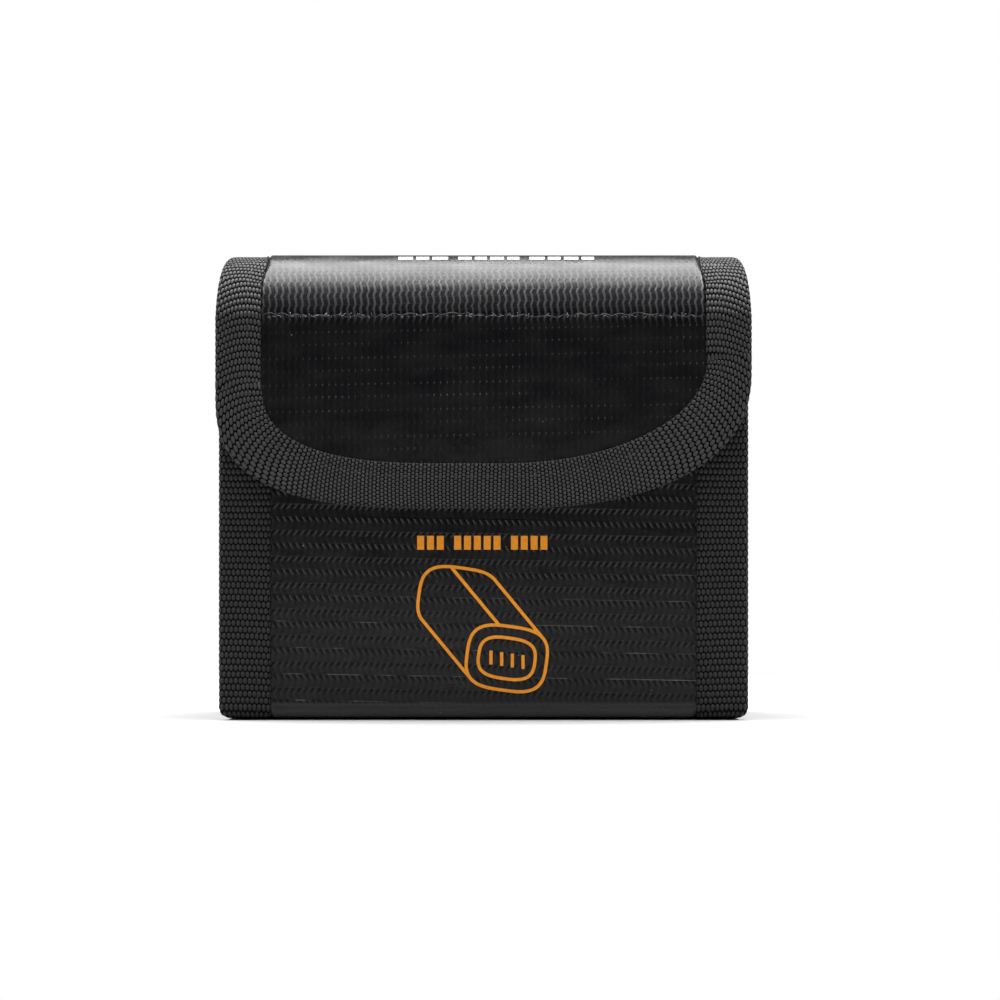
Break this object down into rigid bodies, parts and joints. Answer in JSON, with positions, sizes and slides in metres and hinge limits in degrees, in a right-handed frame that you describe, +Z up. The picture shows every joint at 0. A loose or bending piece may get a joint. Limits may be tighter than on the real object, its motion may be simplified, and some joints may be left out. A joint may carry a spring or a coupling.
{
  "type": "fire-resistant battery bag",
  "caption": "Upright box-shaped pouch of coated glass-fibre cloth with bound seams and a front flap, for storing and charging small lithium packs.",
  "frame": {"origin": "under the middle of the bag, in the plane of the floor it stands on", "axes": "+X to the right seen from the front, +Y to the back, +Z up"},
  "size_m": [0.115, 0.058, 0.1],
  "materials": {
    "coated_cloth": "smooth black coating over woven glass-fibre cloth",
    "binding_tape": "ribbed black woven binding tape",
    "lining": "pale woven glass-fibre cloth",
    "hook_tape": "moulded hook tape",
    "loop_tape": "brushed loop tape"
  },
  "bodies": {
    "pouch": {"shell_wrap": "coated_cloth", "lining_wrap": "lining", "gusset_left": "coated_cloth", "gusset_right": "coated_cloth", "gusset_lining_left": "lining", "gusset_lining_right": "lining", "side_binding_left": "binding_tape", "side_binding_right": "binding_tape", "front_hem": "binding_tape", "gusset_hem_left": "binding_tape", "gusset_hem_right": "binding_tape", "hook_strip": "hook_tape"},
    "flap_top": {"flap_top_cloth": "coated_cloth", "flap_top_lining": "lining", "top_binding_left": "binding_tape", "top_binding_right": "binding_tape"},
    "flap_front": {"flap_front_cloth": "coated_cloth", "flap_front_lining": "lining", "flap_binding": "binding_tape", "loop_strip": "loop_tape"}
  },
  "joints": [
    {"name": "top_fold", "type": "hinge", "parent": "pouch", "child": "flap_top", "pos_m": [0, 0.02595, 0.09695], "axis": [-1, 0, 0], "range_deg": [0, 180]},
    {"name": "flap_fold", "type": "hinge", "parent": "flap_top", "child": "flap_front", "pos_m": [0, -0.02552, 0.09652], "axis": [-1, 0, 0], "range_deg": [0, 170]}
  ]
}
